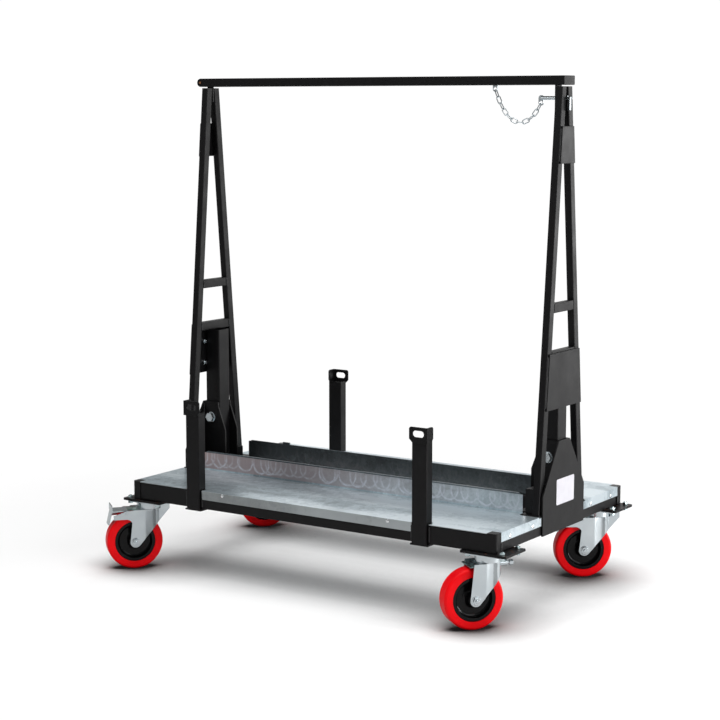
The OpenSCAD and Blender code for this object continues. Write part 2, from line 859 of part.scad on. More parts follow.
// Hanging nose at the pin tip
module pin_nose() {
  color(zinc) difference() {
    union() {
      translate([nose_x, nose_w / 2, pin_z]) rotate([90, 0, 0]) cylinder(d = nose_d, h = nose_w);
      block([nose_x - nose_d / 2, -nose_w / 2, pin_z - nose_len + nose_d / 2],
        [nose_x + nose_d / 2, nose_w / 2, pin_z]);
      translate([nose_x, nose_w / 2, pin_z - nose_len + nose_d / 2]) rotate([90, 0, 0])
        cylinder(d = nose_d, h = nose_w);
    }
    translate([nose_x, nose_w, pin_z]) rotate([90, 0, 0])
      cylinder(r = nose_rivet + pin_gap, h = 2 * nose_w);
  }
}

// Hollow post of one corner, in the rear right place
module edge_post() {
  translate([post_x, post_yc, post_bottom])
    tube(post_w, post_d, post_top - post_bottom, post_wall, tube_round);
}

// Slotted hand plate with its bent side, in the rear right place
module hand_plate() {
  far = post_x + post_w / 2 + grip_t;
  near = far - grip_w;
  top = grip_z + grip_h;
  mid = (near + far) / 2;
  difference() {
    union() {
      long_plate(post_outer, grip_t, [[near + grip_cut, grip_z], [far, grip_z], [far, top],
        [near + grip_round, top],
        [near + grip_round, top - grip_round], [near, top - grip_round], [near, grip_z + grip_cut]]);
      translate([near + grip_round, post_outer, top - grip_round]) rotate([-90, 0, 0])
        cylinder(r = grip_round, h = grip_t);
    }
    block([mid - slot_w / 2 + slot_h / 2, post_outer - eps, grip_slot_z],
      [mid + slot_w / 2 - slot_h / 2, post_outer + grip_t + eps, grip_slot_z + slot_h]);
    for (i = [-1, 1])
      translate([mid + i * (slot_w - slot_h) / 2, post_outer - eps, grip_slot_z + slot_h / 2])
        rotate([-90, 0, 0]) cylinder(d = slot_h, h = grip_t + 2 * eps);
  }
  back = post_outer - grip_side + grip_t;
  cross_plate(far - grip_t, grip_t, [[post_outer + eps, grip_z], [post_outer + eps, top],
    [back + grip_round, top], [back + grip_round, top - grip_round], [back, top - grip_round],
    [back, grip_z + grip_cut], [back + grip_cut, grip_z]]);
  translate([far - grip_t, back + grip_round, top - grip_round]) rotate([0, 90, 0])
    cylinder(r = grip_round, h = grip_t);
}

module post_fl() { color(black) mirror([1, 0, 0]) mirror([0, 1, 0]) edge_post(); }
module post_fr() { color(black) mirror([0, 1, 0]) edge_post(); }
module post_rl() { color(black) mirror([1, 0, 0]) edge_post(); }
module post_rr() { color(black) edge_post(); }
module handle_fl() { color(black) mirror([1, 0, 0]) mirror([0, 1, 0]) hand_plate(); }
module handle_fr() { color(black) mirror([0, 1, 0]) hand_plate(); }
module handle_rl() { color(black) mirror([1, 0, 0]) hand_plate(); }
module handle_rr() { color(black) hand_plate(); }

// Castor frame: swivel axis upright, trail along X
module castor(sx, sy, turn) {
  translate([sx * castor_x + head_dx, sy * castor_y + head_dy, 0]) rotate([0, 0, turn]) children();
}

// Plan of the fork behind its round front: straight, then stepped out to the side plates
module fork_plan(front, back, reach, low, high) {
  translate([0, 0, low]) linear_extrude(height = high - low)
    polygon([[0, -front], [fork_bend, -front], [fork_flat, -back], [reach, -back],
      [reach, back], [fork_flat, back], [fork_bend, front], [0, front]]);
}

// Wall of the fork seen from above, round the leading side, with a narrow wing on the braked ones
module fork_wall(reach, wing) {
  low = axle_z - fork_tip_r - eps;
  difference() {
    union() {
      translate([0, 0, low]) cylinder(r = fork_round, h = crown_z - low);
      fork_plan(fork_round, fork_half, reach, low, crown_z);
      if (wing) block([-wing_u, -wing_half, low], [0, wing_half, crown_z]);
    }
    translate([0, 0, low - eps]) cylinder(r = round_in, h = crown_z - low - crown_t + eps);
    fork_plan(round_in, fork_in, reach + eps, low - eps, crown_z - crown_t);
    if (wing) block([-wing_u + fork_t, -wing_half + fork_t, low - eps],
      [0, wing_half - fork_t, crown_z - crown_t]);
    block([crown_len, -fork_in, low - eps], [reach + eps, fork_in, crown_z + eps]);
  }
}

// Side view of the fork, drawn through its whole width
module fork_side(arms) {
  tip = [lead_u + tip_run * cos(tip_turn), lead_v + tip_run * sin(tip_turn)];
  fillet_u = tail_u - tail_lean * (arm_low - axle_z) / (crown_z - axle_z) + arm_fillet;
  rotate([90, 0, 0]) {
    linear_extrude(height = 3 * fork_half, center = true) {
      polygon([[lead_u, crown_z + eps], [lead_u, lead_v], tip, [trail, axle_z], [tail_u, axle_z],
        [tail_top_u, crown_z], [tail_top_u, crown_z + eps]]);
      if (arms) polygon([[tail_top_u - eps, arm_low], [arm_u, arm_low], [arm_u, arm_high],
        [arm_bend_u, arm_root], [tail_top_u - eps, arm_root]]);
    }
    translate([trail, axle_z, 0]) cylinder(r = fork_tip_r, h = 3 * fork_half, center = true);
    if (arms) difference() {
      translate([tail_top_u - eps, arm_low - arm_fillet, -1.5 * fork_half])
        cube([fillet_u - tail_top_u + eps, arm_fillet + eps, 3 * fork_half]);
      translate([fillet_u, arm_low - arm_fillet, 0])
        cylinder(r = arm_fillet, h = 4 * fork_half, center = true);
    }
  }
}

module cross_bore(u, v, r) {
  translate([u, 2 * fork_half, v]) rotate([90, 0, 0]) cylinder(r = r, h = 4 * fork_half);
}

// Raised lip of the wing round the outside of the bearing head
module wing_lip() {
  difference() {
    block([-wing_u, -wing_half, crown_z - eps], [-wing_in, wing_half, wing_top]);
    block([-wing_u + fork_t, -wing_half + fork_t, crown_z], [eps, wing_half - fork_t, wing_top + eps]);
    translate([0, 0, crown_z]) cylinder(r = head_r + 1, h = wing_top);
  }
}

// Fork with arms for a brake pedal, or with a guide for a swivel lock
module fork(arms) {
  color(zinc) difference() {
    union() {
      intersection() {
        fork_wall(arms ? arm_u : tail_u, arms);
        fork_side(arms);
      }
      if (arms) wing_lip();
      if (!arms) translate([-lock_boss_u, 0, lock_v]) rotate([0, 90, 0])
        cylinder(r = lock_boss_r, h = lock_boss_u - fork_round + fork_t - eps);
    }
    cross_bore(trail, axle_z, axle_d / 2 + bolt_play);
    translate([0, 0, crown_z - 2 * crown_t]) cylinder(r = king_r + pin_gap, h = 4 * crown_t);
    if (arms) cross_bore(pedal_u, pedal_v, pedal_rod + pin_gap);
    if (!arms) translate([-lock_boss_u - eps, 0, lock_v]) rotate([0, 90, 0])
      cylinder(r = lock_r + pin_gap, h = lock_boss_u - fork_round + fork_t + 4 * eps);
  }
}

module axle() {
  color(zinc) translate([trail, 0, axle_z]) rotate([90, 0, 0]) {
    cylinder(d = axle_d, h = 2 * fork_half + 2, center = true);
    for (m = [0, 1]) mirror([0, 0, m]) translate([0, 0, fork_half])
      cylinder(r = axle_hex, h = axle_head, $fn = 6);
  }
}

// Solid tyre with rounded shoulders
module tyre() {
  r = wheel_d / 2;
  color(red) translate([trail, 0, axle_z]) rotate([90, 0, 0]) rotate_extrude() {
    translate([hub_r, -tyre_w / 2]) square([r - hub_r - tyre_round, tyre_w]);
    translate([hub_r, -tyre_w / 2 + tyre_round]) square([r - hub_r, tyre_w - 2 * tyre_round]);
    for (i = [-1, 1]) translate([r - tyre_round, i * (tyre_w / 2 - tyre_round)]) circle(r = tyre_round);
  }
}

// Wheel centre: rim, thin web and long boss with rounded roots
module hub() {
  rim = hub_r - hub_seat;
  rim_in = rim - hub_rim;
  bore = axle_d / 2 + pin_gap;
  f = hub_fillet;
  color(black) translate([trail, 0, axle_z]) rotate([90, 0, 0]) rotate_extrude() {
    translate([bore, -hub_side]) square([hub_boss_r - bore, 2 * hub_side]);
    translate([bore, -web_half]) square([rim - bore, 2 * web_half]);
    translate([rim_in, -rim_half]) square([hub_rim, 2 * rim_half]);
    for (m = [0, 1]) mirror([0, m]) {
      difference() {
        translate([hub_boss_r - eps, web_half - eps]) square(f + eps);
        translate([hub_boss_r + f, web_half + f]) circle(r = f);
      }
      difference() {
        translate([rim_in - f, web_half - eps]) square(f + eps);
        translate([rim_in - f, web_half + f]) circle(r = f);
      }
    }
  }
}

// Pedal on its rod between the fork arms, with a toe tab and a slanted shoe tab
module brake_pedal() {
  color(zinc) {
    translate([pedal_u, 0, pedal_v]) rotate([90, 0, 0]) {
      cylinder(r = pedal_rod, h = 2 * fork_half + 2, center = true);
      cylinder(r = pedal_boss, h = 2 * pedal_half, center = true);
    }
    block([pedal_u - pedal_boss, -pedal_half, pedal_plate_v],
      [pedal_end, pedal_half, pedal_plate_v + pedal_t]);
    block([pedal_end - pedal_t, -pedal_half, pedal_plate_v], [pedal_end, pedal_half, pedal_top]);
    rotate([90, 0, 0]) linear_extrude(height = 2 * pedal_tab_half, center = true)
      polygon([[pedal_tab_u, pedal_plate_v + eps], [pedal_end, pedal_plate_v + eps],
        [pedal_end + pedal_tab_out, pedal_low], [pedal_tab_u + pedal_tab_out, pedal_low]]);
  }
}

// Plunger through the leading wall of the fork, with its pull knob
module swivel_lock() {
  color(zinc) translate([0, 0, lock_v]) rotate([0, -90, 0]) {
    translate([0, 0, lock_in]) cylinder(r = lock_r, h = lock_out - lock_in);
    translate([0, 0, lock_knob_u]) cylinder(r = lock_boss_r, h = lock_out - lock_knob_u - 2, $fn = 6);
  }
}

module fork_fl() { castor(-1, -1, swivel_fl) fork(true); }
module fork_fr() { castor(1, -1, swivel_fr) fork(false); }
module fork_rl() { castor(-1, 1, swivel_rl) fork(false); }
module fork_rr() { castor(1, 1, swivel_rr) fork(true); }
module axle_fl() { castor(-1, -1, swivel_fl) axle(); }
module axle_fr() { castor(1, -1, swivel_fr) axle(); }
module axle_rl() { castor(-1, 1, swivel_rl) axle(); }
module axle_rr() { castor(1, 1, swivel_rr) axle(); }
module tyre_fl() { castor(-1, -1, swivel_fl) tyre(); }
module tyre_fr() { castor(1, -1, swivel_fr) tyre(); }
module tyre_rl() { castor(-1, 1, swivel_rl) tyre(); }
module tyre_rr() { castor(1, 1, swivel_rr) tyre(); }
module hub_fl() { castor(-1, -1, swivel_fl) hub(); }
module hub_fr() { castor(1, -1, swivel_fr) hub(); }
module hub_rl() { castor(-1, 1, swivel_rl) hub(); }
module hub_rr() { castor(1, 1, swivel_rr) hub(); }
module brake_pedal_fl() { castor(-1, -1, swivel_fl) brake_pedal(); }
module brake_pedal_rr() { castor(1, 1, swivel_rr) brake_pedal(); }
module swivel_lock_fr() { castor(1, -1, swivel_fr) swivel_lock(); }
module swivel_lock_rl() { castor(-1, 1, swivel_rl) swivel_lock(); }

front_rail();
rear_rail();
end_rails();
centre_rails();
corner_posts();
front_deck();
rear_deck();
front_upstand();
rear_upstand();
mount_plates();
castor_bolts();
castor_top_plates();
post_sockets();
base_plates();
end_plates();
cheeks();
foot_channels();
stub_posts();
pivot_bolts();
left_legs();
right_legs();
cross_rails();
gusset_plates();
side_plates();
top_bar();
bar_rivet();
bar_hangers();
apex_plate();
chain_tab();
chain();
lock_pin();
pin_nose();
post_fl();
post_fr();
post_rl();
post_rr();
handle_fl();
handle_fr();
handle_rl();
handle_rr();
fork_fl();
fork_fr();
fork_rl();
fork_rr();
axle_fl();
axle_fr();
axle_rl();
axle_rr();
tyre_fl();
tyre_fr();
tyre_rl();
tyre_rr();
hub_fl();
hub_fr();
hub_rl();
hub_rr();
brake_pedal_fl();
brake_pedal_rr();
swivel_lock_fr();
swivel_lock_rl();
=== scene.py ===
import json
import math
import random

import bpy
from mathutils import Matrix, Vector


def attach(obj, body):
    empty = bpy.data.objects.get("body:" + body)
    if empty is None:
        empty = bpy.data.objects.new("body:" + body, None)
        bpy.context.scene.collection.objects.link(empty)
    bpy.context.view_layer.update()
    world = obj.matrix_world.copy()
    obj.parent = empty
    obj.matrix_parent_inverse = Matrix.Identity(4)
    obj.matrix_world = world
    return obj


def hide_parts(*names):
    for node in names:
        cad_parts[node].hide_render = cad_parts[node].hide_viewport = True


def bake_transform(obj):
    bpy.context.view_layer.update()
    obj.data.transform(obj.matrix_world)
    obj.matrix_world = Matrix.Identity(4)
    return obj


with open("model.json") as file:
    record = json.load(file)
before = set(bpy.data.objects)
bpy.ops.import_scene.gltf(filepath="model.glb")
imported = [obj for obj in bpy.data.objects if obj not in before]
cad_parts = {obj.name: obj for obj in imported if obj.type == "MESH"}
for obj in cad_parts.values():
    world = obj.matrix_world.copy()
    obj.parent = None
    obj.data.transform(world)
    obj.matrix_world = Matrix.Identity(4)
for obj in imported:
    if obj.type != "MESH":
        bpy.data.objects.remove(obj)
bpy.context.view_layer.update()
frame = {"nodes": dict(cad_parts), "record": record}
nodeOf = frame["nodes"]
bodyOf = {n: b for b, group in frame["record"]["behaviour"]["bodies"].items() for n in group}
rng = random.Random(11)
print("frame loaded with", len(nodeOf), "nodes")


# small helpers for selection and modifiers
def pickOnly(obj):
    if bpy.context.object and bpy.context.object.mode != "OBJECT":
        bpy.ops.object.mode_set(mode="OBJECT")
    bpy.ops.object.select_all(action="DESELECT")
    obj.select_set(True)
    bpy.context.view_layer.objects.active = obj


def editAll(obj):
    pickOnly(obj)
    bpy.ops.object.mode_set(mode="EDIT")
    bpy.ops.mesh.select_all(action="SELECT")


def leaveEdit():
    bpy.ops.object.mode_set(mode="OBJECT")


def pickFaces(obj, test):  # select faces by centre and normal, then go to edit mode
    pickOnly(obj)
    bpy.ops.object.mode_set(mode="EDIT")
    bpy.ops.mesh.select_mode(type="FACE")
    bpy.ops.mesh.select_all(action="DESELECT")
    leaveEdit()
    for face in obj.data.polygons:
        face.select = bool(test(face.center, face.normal))
    bpy.ops.object.mode_set(mode="EDIT")


def pickEdges(obj, test):  # select edges by their two ends, then go to edit mode
    pickOnly(obj)
    bpy.ops.object.mode_set(mode="EDIT")
    bpy.ops.mesh.select_mode(type="EDGE")
    bpy.ops.mesh.select_all(action="DESELECT")
    leaveEdit()
    for edge in obj.data.edges:
        a, b = (obj.data.vertices[i].co for i in edge.vertices)
        edge.select = bool(test(a, b))
    bpy.ops.object.mode_set(mode="EDIT")


def bevelEdges(obj, width, segments=2, angle=35):
    pickOnly(obj)
    mod = obj.modifiers.new("softEdge", "BEVEL")
    mod.width = width
    mod.segments = segments
    mod.limit_method = "ANGLE"
    mod.angle_limit = math.radians(angle)
    mod.harden_normals = False
    bpy.ops.object.modifier_apply(modifier=mod.name)


def smoothShade(obj, angle=38):
    pickOnly(obj)
    bpy.ops.object.shade_smooth_by_angle(angle=math.radians(angle))


def evenShade(obj):  # flat faces keep flat shading next to a bevel
    pickOnly(obj)
    mod = obj.modifiers.new("evenShade", "WEIGHTED_NORMAL")
    mod.weight = 80
    mod.keep_sharp = True
    bpy.ops.object.modifier_apply(modifier=mod.name)


def settle(obj):  # place goes into the mesh, object back to the origin
    pickOnly(obj)
    bpy.ops.object.transform_apply(location=True, rotation=True, scale=True)


def addBlock(middle, size):
    bpy.ops.object.select_all(action="DESELECT")
    bpy.ops.mesh.primitive_cube_add(size=1, location=middle)
    block = bpy.context.object
    block.scale = size
    settle(block)
    return block


def addRound(radius, low, tall, sides, ends="NGON"):  # upright cylinder on the Z axis
    bpy.ops.object.select_all(action="DESELECT")
    bpy.ops.mesh.primitive_cylinder_add(vertices=sides, radius=radius, depth=tall, end_fill_type=ends,
                                        location=(0, 0, low + tall / 2))
    drum = bpy.context.object
    settle(drum)
    return drum


def crownTop(obj, inset, rise):  # the top face drawn in and lifted
    pickFaces(obj, lambda c, n: n.z > 0.9)
    bpy.ops.mesh.inset(thickness=inset)
    bpy.ops.transform.translate(value=(0, 0, rise))
    leaveEdit()


def joinAll(parts, name):
    bpy.ops.object.select_all(action="DESELECT")
    for part in parts:
        part.select_set(True)
    bpy.context.view_layer.objects.active = parts[0]
    if len(parts) > 1:
        bpy.ops.object.join()
    parts[0].name = name
    return parts[0]


# node helpers for materials
class Finish:
    def __init__(self, name):
        self.mat = bpy.data.materials.new(name)
        self.mat.use_nodes = True
        self.tree = self.mat.node_tree
        self.shader = self.tree.nodes["Principled BSDF"]
        self.coords = self.tree.nodes.new("ShaderNodeTexCoord").outputs["Object"]

    def link(self, a, b):
        self.tree.links.new(a, b)

    def noise(self, scale, detail=4, rough=0.55, stretch=None):
        n = self.tree.nodes.new("ShaderNodeTexNoise")
        n.inputs["Scale"].default_value = scale
        n.inputs["Detail"].default_value = detail
        n.inputs["Roughness"].default_value = rough
        self.link(self.stretched(stretch), n.inputs["Vector"])
        return n.outputs["Fac"]

    def stretched(self, stretch):
        if stretch is None:
            return self.coords
        m = self.tree.nodes.new("ShaderNodeMapping")
        m.inputs["Scale"].default_value = stretch
        self.link(self.coords, m.inputs["Vector"])
        return m.outputs["Vector"]

    def cells(self, scale):
        n = self.tree.nodes.new("ShaderNodeTexVoronoi")
        n.inputs["Scale"].default_value = scale
        self.link(self.coords, n.inputs["Vector"])
        return n.outputs["Color"]

    def ramp(self, fac, stops):
        n = self.tree.nodes.new("ShaderNodeValToRGB")
        while len(n.color_ramp.elements) < len(stops):
            n.color_ramp.elements.new(0.5)
        for el, (pos, col) in zip(n.color_ramp.elements, stops):
            el.position = pos
            el.color = (*col, 1)
        self.link(fac, n.inputs["Fac"])
        return n.outputs["Color"]

    def span(self, fac, low, high, a=0.0, b=1.0):
        n = self.tree.nodes.new("ShaderNodeMapRange")
        n.inputs["From Min"].default_value = low
        n.inputs["From Max"].default_value = high
        n.inputs["To Min"].default_value = a
        n.inputs["To Max"].default_value = b
        self.link(fac, n.inputs["Value"])
        return n.outputs["Result"]

    def math(self, kind, a, b=0.0):
        n = self.tree.nodes.new("ShaderNodeMath")
        n.operation = kind
        for socket, value in ((n.inputs[0], a), (n.inputs[1], b)):
            if isinstance(value, (int, float)):
                socket.default_value = value
            else:
                self.link(value, socket)
        return n.outputs[0]

    def add(self, a, b):
        return self.math("ADD", a, b)

    def take(self, a, b):
        return self.math("SUBTRACT", a, b)

    def times(self, a, b):
        return self.math("MULTIPLY", a, b)

    def length(self, a, b):
        return self.math("SQRT", self.add(self.times(a, a), self.times(b, b)))

    def mix(self, fac, a, b, kind="MIX"):
        n = self.tree.nodes.new("ShaderNodeMix")
        n.data_type = "RGBA"
        n.blend_type = kind
        for socket, value in ((n.inputs["Factor"], fac), (n.inputs[6], a), (n.inputs[7], b)):
            if isinstance(value, (int, float)):
                socket.default_value = value
            elif isinstance(value, tuple):
                socket.default_value = (*value, 1)
            else:
                self.link(value, socket)
        return n.outputs[2]

    def xyz(self):
        n = self.tree.nodes.new("ShaderNodeSeparateXYZ")
        self.link(self.coords, n.inputs[0])
        return n.outputs

    def bump(self, height, strength, distance):
        n = self.tree.nodes.new("ShaderNodeBump")
        n.inputs["Strength"].default_value = strength
        n.inputs["Distance"].default_value = distance
        self.link(height, n.inputs["Height"])
        self.link(n.outputs["Normal"], self.shader.inputs["Normal"])

    def put(self, socket, value):
        s = self.shader.inputs[socket]
        if isinstance(value, (int, float)):
            s.default_value = value
        elif isinstance(value, tuple):
            s.default_value = (*value, 1)
        else:
            self.link(value, s)


# black powder coat, with a film of rust on the mount plates
powderCoat = {"deep": (0.0032, 0.0030, 0.0034), "worn": (0.0085, 0.0085, 0.0095), "lift": 1.25,
              "gloss": (0.36, 0.50), "shine": 0.21, "peel": 0.10,
              "rust": (0.17, 0.055, 0.018), "rustFrom": 0.2006, "rustEdge": 0.0004, "rustMost": 0.6}


def makePowderCoat(name, rusty):
    f = Finish(name)
    broad = f.noise(5.0, 3)
    rubbed = f.noise(38.0, 6, 0.68, (1.0, 1.0, 0.35))
    scuff = f.span(rubbed, 0.58, 0.80)
    lifted = tuple(c * powderCoat["lift"] for c in powderCoat["deep"])
    tone = f.ramp(broad, [(0.3, powderCoat["deep"]), (0.75, lifted)])
    tone = f.mix(scuff, tone, powderCoat["worn"])
    if rusty:  # faint brown film where the plates meet the rails
        onTop = f.span(f.xyz()[2], powderCoat["rustFrom"] - powderCoat["rustEdge"], powderCoat["rustFrom"])
        film = f.times(onTop, f.span(f.noise(70.0, 5, 0.65), 0.56, 0.74, 0.0, powderCoat["rustMost"]))
        tone = f.mix(film, tone, powderCoat["rust"])
    f.put("Base Color", tone)
    f.put("Roughness", f.span(f.noise(14.0, 5), 0.3, 0.7, *powderCoat["gloss"]))
    f.put("Specular IOR Level", powderCoat["shine"])
    f.bump(f.noise(620.0, 2, 0.4), powderCoat["peel"], 0.0004)
    return f.mat


# galvanised sheet, clouded, with rubbed rings on the standing folds and a painted reddish reflection on the
# fold
galvSheet = {"light": (0.73, 0.82, 0.865), "mid": (0.48, 0.565, 0.61), "dull": (0.29, 0.345, 0.375),
             "paintedRedReflection": (0.44, 0.33, 0.33), "edge": (0.24, 0.245, 0.24), "foldFrom": 0.2555, "foldFull": 0.258,
             "flangeY": (0.3570, 0.3576), "flangeZ": (0.2528, 0.2520), "metal": 0.85}
swirl = {"tone": (0.76, 0.78, 0.85), "pitch": 0.136, "radius": 0.027, "line": 0.0042, "core": 0.0006,
         "shifts": (0.0, 0.26, 0.49, 0.74), "sway": 0.36, "drop": 0.006, "wobble": 0.008, "fade": 0.012}


def swirlArcs(f, height):  # thin open rings left by rubbing, unevenly spaced along the sheet
    x, y, z = f.xyz()
    up = f.math("MINIMUM", f.take(z, height), 0.0)
    rings = None
    for n, shift in enumerate(swirl["shifts"]):
        cell = f.add(f.math("DIVIDE", x, swirl["pitch"]), shift + 40.0)  # kept above zero
        dice = f.tree.nodes.new("ShaderNodeTexWhiteNoise")
        dice.noise_dimensions = "1D"
        f.link(f.add(f.math("FLOOR", cell), 31.0 * n), dice.inputs["W"])  # each row has its own draws
        chance = dice.outputs["Value"]
        middle = f.add(f.times(chance, swirl["sway"]), (1 - swirl["sway"]) / 2)
        across = f.times(f.take(f.math("FRACT", cell), middle), swirl["pitch"])
        far = f.length(across, f.add(up, f.times(chance, swirl["drop"])))
        uneven = f.times(f.take(f.noise(55.0, 2), 0.5), swirl["wobble"])
        off = f.math("ABSOLUTE", f.take(f.add(far, uneven), swirl["radius"]))
        ring = f.times(f.span(off, swirl["line"], swirl["core"]), f.span(chance, 0.1, 0.5, 0.6, 1.0))
        rings = ring if rings is None else f.math("MAXIMUM", rings, ring)
    fade = f.span(z, height + swirl["fade"], height - swirl["fade"], 0.25, 1.0)
    patchy = f.span(f.noise(90.0, 3), 0.32, 0.62, 0.3, 1.0)
    return f.times(f.times(rings, fade), patchy)


def makeGalvanised(name, paintedShadeScale, arcHeight, arcShare, paintedRedReflection):
    f = Finish(name)
    cloud = f.noise(3.6, 5, 0.52, (0.45, 1.9, 1.0))
    grain = f.tree.nodes.new("ShaderNodeRGBToBW")
    f.link(f.mix(0.4, f.cells(60.0), f.cells(170.0)), grain.inputs[0])
    value = f.add(f.times(grain.outputs[0], 0.14), f.times(cloud, 0.88))
    stops = [(0.40, "dull"), (0.49, "mid"), (0.60, "light")]
    tone = f.ramp(value, [(at, tuple(v * paintedShadeScale for v in galvSheet[kind])) for at, kind in stops])
    x, y, z = f.xyz()
    upright = f.span(z, galvSheet["foldFrom"], galvSheet["foldFull"])  # the standing fold, not the deck
    # painted reddish reflection on the standing fold, stronger to the left; this switch also darkens the
    # outer flanges
    if paintedRedReflection:
        reflectionReach = f.span(f.add(x, f.times(f.noise(4.0, 2), 0.5)), -0.25, 0.65, 0.95, 0.15)
        tone = f.mix(f.times(upright, reflectionReach), tone, galvSheet["paintedRedReflection"])
        outer = f.span(f.math("ABSOLUTE", y), *galvSheet["flangeY"])
        flange = f.times(outer, f.span(z, *galvSheet["flangeZ"]))
        tone = f.mix(f.times(flange, f.span(cloud, 0.3, 0.7, 0.95, 0.6)), tone, galvSheet["edge"])
    mark = f.times(f.times(swirlArcs(f, arcHeight), upright), arcShare)
    f.put("Base Color", f.mix(mark, tone, swirl["tone"]))
    f.put("Roughness", f.add(f.span(value, 0.3, 0.7, 0.42, 0.28), f.times(mark, 0.2)))
    f.put("Metallic", galvSheet["metal"])
    f.bump(value, 0.05, 0.0005)
    return f.mat


# bright zinc plate of the castors, bolts, pin and chain
zincPlate = {"bright": (0.66, 0.71, 0.735), "cool": (0.58, 0.635, 0.665), "gloss": (0.20, 0.27)}


def zincBase(name, tint=(1.0, 1.0, 1.0)):
    f = Finish(name)
    cool, bright = (tuple(c * t for c, t in zip(zincPlate[kind], tint)) for kind in ("cool", "bright"))
    f.put("Base Color", f.ramp(f.noise(14.0, 3, 0.5), [(0.3, cool), (0.7, bright)]))
    f.put("Metallic", 1.0)
    f.put("Roughness", f.span(f.noise(40.0, 3), 0.3, 0.7, *zincPlate["gloss"]))
    return f


def makeZinc(name="zincPlate", tint=(1.0, 1.0, 1.0)):
    f = zincBase(name, tint)
    f.bump(f.noise(240.0, 3), 0.012, 0.0003)
    return f.mat


# swivel axis of each castor in plan, and the way its wheel trails in degrees
castorAxis = {"fl": (-0.5685, -0.3210, 229.4), "fr": (0.5505, -0.3210, 231.5),
              "rl": (-0.5685, 0.3022, 226.6), "rr": (0.5505, 0.3022, 218.0)}
brakedCastors = ("fl", "rr")
forkBend = {"start": 0.0150, "end": -0.0200, "crease": 0.30, "radius": 0.060, "wall": 0.0300}


def trailOf(k):
    turn = math.radians(castorAxis[k][2])
    return math.cos(turn), math.sin(turn)


def makeForkZinc(k):  # plated fork, the sides shaded as they roll in towards the front
    f = zincBase("forkZinc" + k.upper())
    ax, ay = castorAxis[k][:2]
    c, d = trailOf(k)
    x, y, z = f.xyz()
    dx = f.take(x, ax)
    dy = f.take(y, ay)
    back = f.add(f.times(dx, c), f.times(dy, d))
    side = f.math("ABSOLUTE", f.take(f.times(dy, c), f.times(dx, d)))
    run = f.math("MAXIMUM", f.take(forkBend["start"], f.math("MAXIMUM", back, forkBend["end"])), 0.0)
    rolled = f.math("DIVIDE", f.times(run, run), 2 * forkBend["radius"])
    fall = f.add(f.times(run, forkBend["crease"]), rolled)
    onWall = f.math("GREATER_THAN", side, forkBend["wall"])
    f.bump(f.times(f.times(fall, onWall), -1.0), 1.0, 1.0)
    return f.mat


# finishes of one tone with a little cloud in it
def makePlain(kind):
    f = Finish(kind["name"])
    deep, pale = kind["tones"]
    f.put("Base Color", f.ramp(f.noise(*kind["cloud"]), [(0.3, deep), (kind.get("paleFrom", 0.7), pale)]))
    f.put("Roughness", f.span(f.noise(*kind["film"]), 0.3, 0.7, *kind["gloss"]))
    if "metal" in kind:
        f.put("Metallic", kind["metal"])
    if "shine" in kind:
        f.put("Specular IOR Level", kind["shine"])
    if "grain" in kind:
        f.bump(f.noise(*kind["grain"]), kind["depth"], kind["step"])
    return f.mat


redTyre = {"name": "redTyre", "tones": [(0.74, 0.0008, 0.004), (0.86, 0.001, 0.005)], "paleFrom": 0.65,
           "cloud": (18.0, 4), "film": (45.0, 5), "gloss": (0.30, 0.45), "shine": 0.12,
           "grain": (380.0, 2), "depth": 0.05, "step": 0.0004}
hubEnamel = {"name": "hubEnamel", "tones": [(0.0018, 0.0017, 0.002), (0.004, 0.004, 0.0044)],
             "cloud": (20.0, 4), "film": (60.0, 4), "gloss": (0.12, 0.20), "shine": 0.21,
             "grain": (300.0, 3), "depth": 0.06, "step": 0.0004}
rivetCopper = {"name": "rivetCopper", "tones": [(0.23, 0.10, 0.05), (0.38, 0.19, 0.10)],
               "cloud": (300.0, 3), "film": (500.0, 3), "gloss": (0.38, 0.55), "metal": 0.8}
blankSticker = {"name": "blankSticker", "tones": [(0.55, 0.54, 0.585), (0.61, 0.60, 0.64)],
                "cloud": (30.0, 3), "film": (80.0, 3), "gloss": (0.32, 0.42),
                "grain": (120.0, 3), "depth": 0.05, "step": 0.0005}
paintedWeld = {"name": "paintedWeld", "tones": [(0.006, 0.006, 0.007), (0.014, 0.014, 0.015)],
               "cloud": (150.0, 4), "film": (200.0, 4), "gloss": (0.36, 0.5),
               "grain": (700.0, 3), "depth": 0.2, "step": 0.0006}

coat = makePowderCoat("blackPowderCoat", False)
rustyCoat = makePowderCoat("rustyPowderCoat", True)
deckMetal = makeGalvanised("galvanisedDeck", paintedShadeScale=1.0, arcHeight=0.294, arcShare=0.80, paintedRedReflection=True)
# painted shade: a copy of the galvanised sheet with every tone scaled to 0.34, for the rear upstand, which
# stands in shade
shadedGalvanised = makeGalvanised("galvanisedPaintedShade", paintedShadeScale=0.34, arcHeight=0.288, arcShare=0.06, paintedRedReflection=False)
zinc = makeZinc()
greenZinc = makeZinc("greenZinc", (0.62, 0.78, 0.68))
boltZinc = makeZinc("boltZinc", (0.80, 0.88, 0.86))
darkGreen = makeZinc("darkGreenZinc", (0.36, 0.46, 0.43))
rivetZinc = makeZinc("rivetZinc", (1.35, 1.29, 1.26))
sticker = makePlain(blankSticker)
weldPaint = makePlain(paintedWeld)
finishOf = {"black_paint": coat, "galvanised": deckMetal, "dark_galvanised": shadedGalvanised, "zinc": zinc,
            "copper": makePlain(rivetCopper), "red_tyre": makePlain(redTyre),
            "hub_black": makePlain(hubEnamel)}
slotOf = {s["node"]: s["material_slot"] for s in frame["record"]["subparts"]}
for name, obj in nodeOf.items():
    obj.data.materials.clear()
    finish = finishOf[slotOf[name]]
    if name == "mount_plates":
        finish = rustyCoat
    if name == "castor_bolts":
        finish = boltZinc
    if name.startswith("fork_"):
        finish = makeForkZinc(name[-2:])
    obj.data.materials.append(finish)
print("materials set")

